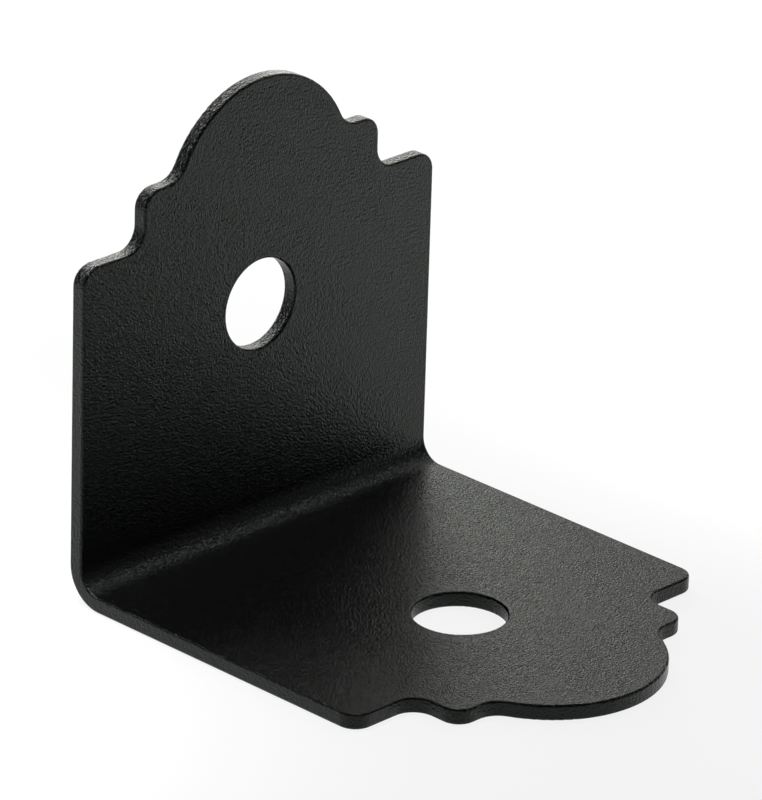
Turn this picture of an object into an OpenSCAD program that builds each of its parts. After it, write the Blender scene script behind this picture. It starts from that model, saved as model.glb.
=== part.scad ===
// Corner brace bracket: one sheet of steel, folded once to a right angle. Each leg ends in a
// stepped crown, two steps under a round dome, and has one hole for a screw or a bolt.
// The back of the upright leg lies in y = 0 and the underside of the flat leg in z = 0.
// The origin is at mid width on the corner line where those two planes meet.

/* [Sheet] */
// Width of the sheet, the same in both legs
sheet_w = 76.2; // [66:0.1:110]
// Thickness of the sheet with its coating
sheet_t = 2.6; // [2:0.1:5]
// Inside radius of the fold
fold_r = 3.8; // [1:0.1:10]
// Radius that rounds every edge of the sheet
edge_r = 0.4; // [0.1:0.05:0.8]

/* [Legs] */
// Height of the upright leg, from the underside of the flat leg to the top of its dome
upright_h = 78.2; // [60:0.1:150]
// Length of the flat leg, from the back of the upright leg to the end of its dome
flat_l = 84.7; // [60:0.1:150]

/* [Crown] */
// Radius of the dome
dome_r = 19.05; // [15:0.05:24]
// Height of the dome above the upper step
dome_h = 12.7; // [8:0.1:18]
// Width of the upper step
step_w = 50.8; // [44:0.1:60]
// Height of the upper step above the lower one
step_h = 9.3; // [7:0.1:14]
// Radius of the outer corners of both steps
corner_r = 3.2; // [1:0.1:5]
// Radius of the hollow between the dome and the upper step
dome_hollow_r = 4; // [1:0.1:6]
// Radius of the hollow between the upper step and the lower one
step_hollow_r = 3.6; // [1:0.1:6]

/* [Holes] */
// Diameter of the hole in each leg
hole_d = 15; // [5:0.1:22]
// Height of the upright leg's hole above the underside of the flat leg, to its centre
upright_hole_h = 40.2; // [25:0.1:55]
// Distance of the flat leg's hole from the back of the upright leg, to its centre
flat_hole_l = 47.6; // [25:0.1:60]

/* [Hidden] */
$fn = 96;
coat_color = [0.1, 0.105, 0.105];

// Radius of the outside of the fold, which is also where each leg's flat part begins
fold_out_r = fold_r + sheet_t;
// How much further the sheet reaches than the upper step, on each side
shoulder_w = (sheet_w - step_w) / 2;
// How far the middle of the dome lies below the upper step
dome_drop = dome_r - dome_h;
// Where the flat of the upper step ends and its corner begins, from the middle line
step_flat = step_w / 2 - corner_r;
// The radii of the two hollows, no larger than the flats beside them leave room for
dome_room = (pow(step_flat, 2) - pow(dome_r, 2) + pow(dome_drop, 2)) / (2 * dome_h);
dome_hollow = min(dome_hollow_r, dome_room);
step_hollow = min(step_hollow_r, shoulder_w - corner_r, step_h - corner_r);
// How far from the middle line the centre lies of the hollow that touches dome and step
hollow_u = sqrt(pow(dome_r + dome_hollow, 2) - pow(dome_drop + dome_hollow, 2));
// The sides of the sheet and the flat faces end this far in, and the rounded rims fill the rest
rim_u = sheet_w / 2 - edge_r;
// How far a cutting shape or an uncut bar runs past what it meets
spare = 1;

// An outline is a list of arcs, joined by straight lines, that runs anticlockwise. Each arc has
// a centre, a radius, true if it rounds the sheet or false if it hollows it, and two far
// points, which lie beyond the arc's start and beyond its end as seen from the centre.
function arc(centre, r, rounds, before, after) = [centre, r, rounds, before, after];
function rounds(a) = a[2];
function point_on(a, far) = a[0] + a[1] * (far - a[0]) / norm(far - a[0]);
function start_of(a) = point_on(a, a[3]);
function end_of(a) = point_on(a, a[4]);

// A quarter arc on the right side of the outline
function corner(c, r) = arc(c, r, true, c + [2 * r, 0], c + [0, 2 * r]);
function hollow(c, r) = arc(c, r, false, c - [0, 2 * r], c - [2 * r, 0]);

// The same arc on an outline that lies d further in
function inset(a, d) = arc(a[0], a[1] + (rounds(a) ? -d : d), a[2], a[3], a[4]);

// The arc's twin on the left side, where its start and its end change places
function flip(p) = [-p[0], p[1]];
function twin(a) = arc(flip(a[0]), a[1], a[2], flip(a[4]), flip(a[3]));

// The arcs of a leg whose dome ends at top, from the right shoulder round to the left one
function crown(top) =
    let (
        upper = top - dome_h,
        lower = upper - step_h,
        dome_c = [0, top - dome_r],
        hollow_c = [hollow_u, upper + dome_hollow],
        right = [
            corner([sheet_w / 2 - corner_r, lower - corner_r], corner_r),
            hollow([step_w / 2 + step_hollow, lower + step_hollow], step_hollow),
            corner([step_flat, upper - corner_r], corner_r),
            arc(hollow_c, dome_hollow, false, hollow_c - [0, dome_r], dome_c)
        ],
        dome = arc(dome_c, dome_r, true, hollow_c, flip(hollow_c))
    )
    concat(right, [dome], [for (i = [len(right) - 1:-1:0]) twin(right[i])]);

// The straight lines that lie before, between and after the arcs, the first and the last of them
// down to the fold. Where two arcs touch there is no line, and the list has an empty place.
function straights(arcs) =
    let (
        starts = concat([[rim_u, fold_out_r]], [for (a = arcs) end_of(a)]),
        ends = concat([for (a = arcs) start_of(a)], [[-rim_u, fold_out_r]])
    )
    [for (i = [0:len(arcs)]) norm(ends[i] - starts[i]) > 0.001 ? [starts[i], ends[i]] : []];

// Puts a shape at p in two moves, the second of them under a thousandth, which keeps all the
// digits of p in an exported tree
module at(p) {
    near = [for (x = p) round(x * 1000) / 1000];
    translate(near) translate(p - near) children();
}

// Section through the outermost edge_r of the sheet, where both of its edges are rounded
module rim_section() {
    for (rise = [edge_r, sheet_t - edge_r])
        intersection() {
            translate([0, rise]) circle(edge_r);
            square([edge_r, sheet_t]);
        }
    translate([0, edge_r]) square([edge_r, sheet_t - 2 * edge_r]);
}

// The part of a shape that lies over the tile with these corners
module within(corners) {
    intersection() {
        children();
        translate([0, 0, -spare]) linear_extrude(sheet_t + 2 * spare) polygon(corners);
    }
}

// The whole ring of rim round the circle of an arc
module rim_ring(a) {
    at(a[0]) rotate_extrude()
        translate([a[1], 0]) mirror([rounds(a) ? 0 : 1, 0]) rim_section();
}

// The rim along an arc: its ring, cut at both ends of the arc
module rim_arc(a) {
    within([a[0], a[3], 2 * (a[3] + a[4]) - 3 * a[0], a[4]]) rim_ring(a);
}

// The rim along a straight line: a longer bar, cut at both ends of the line
module rim_straight(line) {
    run = line[1] - line[0];
    out = [run[1], -run[0]] * spare / norm(run);
    within([line[0] + out, line[1] + out, line[1] - out, line[0] - out])
        translate(line[1]) rotate(atan2(out[1], out[0])) rotate([90, 0, 0])
            translate([0, 0, -spare]) linear_extrude(norm(run) + 2 * spare) rim_section();
}

// The flat face inside the rims: a polygon along the straight lines and through the centre of
// every arc, with the rounds added and the hollows and the hole taken away
module flat_face(arcs, hole) {
    lines = straights(arcs);
    centres = concat([for (a = arcs) [a[0]]], [[]]);
    difference() {
        union() {
            polygon([for (i = [0:len(arcs)]) each concat(lines[i], centres[i])]);
            for (a = arcs) if (rounds(a)) at(a[0]) circle(a[1]);
        }
        for (a = concat(arcs, [hole])) if (!rounds(a)) at(a[0]) circle(a[1]);
    }
}

// One leg lying flat, its outer face in z = 0, from the fold to the top of its dome
module leg(top, hole_at) {
    arcs = [for (a = crown(top)) inset(a, edge_r)];
    hole = inset(hollow([0, hole_at], hole_d / 2), edge_r);
    linear_extrude(sheet_t) flat_face(arcs, hole);
    for (a = arcs) rim_arc(a);
    for (line = straights(arcs)) if (len(line) > 0) rim_straight(line);
    rim_ring(hole);
}

// The quarter turn of the sheet between the two legs
module fold() {
    translate([0, -fold_out_r, fold_out_r]) rotate([0, 90, 0])
        rotate_extrude(angle = 90) {
            translate([fold_r, -rim_u]) square([sheet_t, 2 * rim_u]);
            for (side = [0, 1]) mirror([0, side])
                translate([fold_out_r, rim_u]) rotate(90) rim_section();
        }
}

module bracket() {
    color(coat_color) union() {
        rotate([90, 0, 0]) leg(upright_h, upright_hole_h);
        mirror([0, 1, 0]) leg(flat_l, flat_hole_l);
        fold();
    }
}

bracket();
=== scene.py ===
# Looks of a black powder-coated corner brace bracket, lit as a product on a white ground.
# Lengths are in metres, angles in degrees and the power of lamps in watts.
import math

import bpy
from mathutils import Matrix, Vector

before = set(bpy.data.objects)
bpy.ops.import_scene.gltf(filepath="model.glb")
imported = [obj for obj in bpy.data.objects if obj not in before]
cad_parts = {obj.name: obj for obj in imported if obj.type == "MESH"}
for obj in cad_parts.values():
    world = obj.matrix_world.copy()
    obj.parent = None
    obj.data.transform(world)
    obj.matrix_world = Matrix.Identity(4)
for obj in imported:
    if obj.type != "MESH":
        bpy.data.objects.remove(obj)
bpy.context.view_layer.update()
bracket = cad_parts["bracket"]

# The coat: a black that mirrors little, with a grain of small pebbles on wider swells. The two
# scales say how many of them there are to the metre.
COAT_COLOR = (0.001, 0.0011, 0.001, 1.0)
COAT_TINT = (0.86, 1.0, 0.9, 1.0)
COAT_ROUGHNESS = 0.2
COAT_IOR = 1.32
PEBBLE_SCALE = 2700.0
SWELL_SCALE = 1400.0
SWELL_SHARE = 0.3
GRAIN_DEPTH = 0.0002

# The camera: its turns about the target, and how far back, right and up of it the camera stands.
# Azimuth 0 is in front of the upright leg, and seen from there, 90 is on the right.
CAMERA_AZIMUTH = -46.0
CAMERA_ELEVATION = 23.62
CAMERA_ROLL = 1.72
CAMERA_TARGET = Vector((0.0, -0.0343, 0.0343))
CAMERA_BACK = 1.0301
CAMERA_RIGHT = -0.0036
CAMERA_UP = -0.00012
LENS_MM = 301.1
SENSOR_MM = 36.0

# The floor: a hair below the bracket. FLOOR_WHITE is the share of plain white in what is seen
# of it, and the rest is lit, which keeps a faint shadow.
FLOOR_SIZE = 6.0
FLOOR_GAP = 0.0001
FLOOR_COLOR = (0.9, 0.9, 0.9, 1.0)
FLOOR_ROUGHNESS = 0.9
FLOOR_WHITE = 0.85

# The lamps: the point that most of them aim at, their two distances from it, and the height of
# those that light only the floor
LAMP_AIM = Vector((0.0, -0.035, 0.03))
NEAR = 0.34
FAR = 1.1
FLOOR_LAMP_HEIGHT = 0.3
WHITE = (1.0, 1.0, 1.0)
WARM = (1.0, 0.99, 0.95)
WORLD_STRENGTH = 0.06


def input_key(name):
    """The input that a keyword means: i0 is the first one, and Base_Color is Base Color."""
    if name[0] == "i" and name[1:].isdigit():
        return int(name[1:])
    return name.replace("_", " ")


def new_material(name):
    """Returns an empty material and a function that adds a node to it. The function sets the
    node's inputs, and links those that are given as sockets."""
    material = bpy.data.materials.new(name)
    material.use_nodes = True
    tree = material.node_tree
    tree.nodes.clear()

    def make(kind, settings=None, **inputs):
        node = tree.nodes.new(kind)
        for setting, value in (settings or {}).items():
            setattr(node, setting, value)
        for keyword, value in inputs.items():
            socket = node.inputs[input_key(keyword)]
            if isinstance(value, bpy.types.NodeSocket):
                tree.links.new(value, socket)
            else:
                socket.default_value = value
        return node

    return material, make


def powder_coat():
    """Satin black powder coat with the fine pebbled grain that such a coat dries to."""
    material, make = new_material("powder_coat")
    place = make("ShaderNodeTexCoord").outputs["Object"]
    pebbles = make("ShaderNodeTexNoise", Vector=place, Scale=PEBBLE_SCALE, Detail=1.5, Roughness=0.6)
    swells = make("ShaderNodeTexNoise", Vector=place, Scale=SWELL_SCALE, Detail=1.0, Roughness=0.5)
    height = make(
        "ShaderNodeMath", {"operation": "MULTIPLY_ADD"},
        i0=swells.outputs["Fac"], i1=SWELL_SHARE, i2=pebbles.outputs["Fac"],
    )
    bump = make("ShaderNodeBump", Strength=1.0, Distance=GRAIN_DEPTH, Height=height.outputs[0])
    coat = make(
        "ShaderNodeBsdfPrincipled",
        Base_Color=COAT_COLOR,
        Roughness=COAT_ROUGHNESS,
        IOR=COAT_IOR,
        Specular_Tint=COAT_TINT,
        Normal=bump.outputs["Normal"],
    )
    make("ShaderNodeOutputMaterial", Surface=coat.outputs["BSDF"])
    return material


def white_ground():
    """A lit floor, mixed with plain white for the camera and for mirrored and bent rays."""
    material, make = new_material("floor")
    lit = make("ShaderNodeBsdfPrincipled", Base_Color=FLOOR_COLOR, Roughness=FLOOR_ROUGHNESS)
    white = make("ShaderNodeEmission", Color=(*WHITE, 1.0), Strength=1.0)
    ray = make("ShaderNodeLightPath").outputs
    bent = make(
        "ShaderNodeMath", {"operation": "MAXIMUM"},
        i0=ray["Is Glossy Ray"], i1=ray["Is Transmission Ray"],
    )
    seen = make(
        "ShaderNodeMath", {"operation": "MAXIMUM"},
        i0=ray["Is Camera Ray"], i1=bent.outputs[0],
    )
    share = make("ShaderNodeMath", {"operation": "MULTIPLY"}, i0=seen.outputs[0], i1=FLOOR_WHITE)
    mixed = make(
        "ShaderNodeMixShader",
        i0=share.outputs[0], i1=lit.outputs["BSDF"], i2=white.outputs["Emission"],
    )
    make("ShaderNodeOutputMaterial", Surface=mixed.outputs[0])
    return material


def photo_camera():
    """The photo's view: a long lens, above and to the left of the inside of the angle."""
    turn = (
        Matrix.Rotation(math.radians(CAMERA_AZIMUTH), 3, "Z")
        @ Matrix.Rotation(math.radians(90.0 - CAMERA_ELEVATION), 3, "X")
        @ Matrix.Rotation(math.radians(CAMERA_ROLL), 3, "Z")
    )
    place = CAMERA_TARGET + turn @ Vector((CAMERA_RIGHT, CAMERA_UP, CAMERA_BACK))
    data = bpy.data.cameras.new("camera")
    data.sensor_width = SENSOR_MM
    data.lens = LENS_MM
    camera = bpy.data.objects.new("camera", data)
    camera.matrix_world = Matrix.Translation(place) @ turn.to_4x4()
    bpy.context.scene.collection.objects.link(camera)
    return camera


def floor():
    """The ground that the bracket stands on."""
    bpy.ops.mesh.primitive_plane_add(size=FLOOR_SIZE, location=(0, 0, -FLOOR_GAP))
    plane = bpy.context.object
    plane.name = "floor"
    plane.data.materials.append(white_ground())


def lamp(name, place, aim, size, power, spread=180, color=WHITE):
    """A square softbox at a place. Its spread is the angle of the cone that it lights."""
    data = bpy.data.lights.new(name, "AREA")
    data.size = size
    data.energy = power
    data.color = color
    data.spread = math.radians(spread)
    light = bpy.data.objects.new(name, data)
    light.location = place
    light.rotation_euler = (place - aim).to_track_quat("Z", "Y").to_euler()
    bpy.context.scene.collection.objects.link(light)


def lamp_on_part(name, azimuth, elevation, distance, size, power, color=WHITE):
    """A softbox that aims at the bracket. Its azimuth is counted as the camera's is."""
    turn = math.radians(azimuth)
    rise = math.radians(elevation)
    ahead = math.cos(rise)
    away = Vector((math.sin(turn) * ahead, -math.cos(turn) * ahead, math.sin(rise)))
    lamp(name, LAMP_AIM + distance * away, LAMP_AIM, size, power, color=color)


def lamp_on_floor(name, x, y, size, power, spread):
    """A lamp that lights a patch of floor beside the bracket, straight from above."""
    lamp(name, Vector((x, y, FLOOR_LAMP_HEIGHT)), Vector((x, y, 0.0)), size, power, spread)


def dim_world():
    """A faint even light from all sides, so that no side of the bracket is wholly black."""
    world = bpy.data.worlds.new("world")
    world.use_nodes = True
    background = world.node_tree.nodes["Background"]
    background.inputs["Color"].default_value = (*WHITE, 1.0)
    background.inputs["Strength"].default_value = WORLD_STRENGTH
    return world


bracket.data.materials.clear()
bracket.data.materials.append(powder_coat())

floor()

# Faint light from the left, from above and from the front
lamp_on_part("left", azimuth=270, elevation=48, distance=NEAR, size=0.22, power=0.03)
lamp_on_part("above", azimuth=225, elevation=76, distance=FAR, size=0.7, power=0.5)
lamp_on_part("front_right", azimuth=60, elevation=24, distance=FAR, size=0.7, power=0.4)
# The sheen on the flat leg and on the upper edges, and the light on the upright leg's back
lamp_on_part("behind", azimuth=168, elevation=16, distance=NEAR, size=0.2, power=0.62)
lamp_on_part("behind_low", azimuth=190, elevation=12, distance=FAR, size=0.6, power=2.2)
lamp_on_part("behind_right", azimuth=150, elevation=20, distance=NEAR, size=0.22, power=0.4, color=WARM)
lamp_on_part("right_back", azimuth=120, elevation=20, distance=NEAR, size=0.22, power=0.16, color=WARM)
# The thin bright line along the fold
lamp_on_part("fold_line", azimuth=84, elevation=50, distance=NEAR, size=0.08, power=0.16)
# Bright floor, which the upright leg mirrors in its right half and the side edges mirror too
lamp_on_floor("floor_right", x=0.15, y=-0.03, size=0.1, power=0.2, spread=26)
lamp_on_floor("floor_left", x=-0.12, y=0.04, size=0.12, power=0.25, spread=40)

bpy.context.scene.camera = photo_camera()
bpy.context.scene.world = dim_world()
bpy.context.scene.view_settings.view_transform = "Standard"
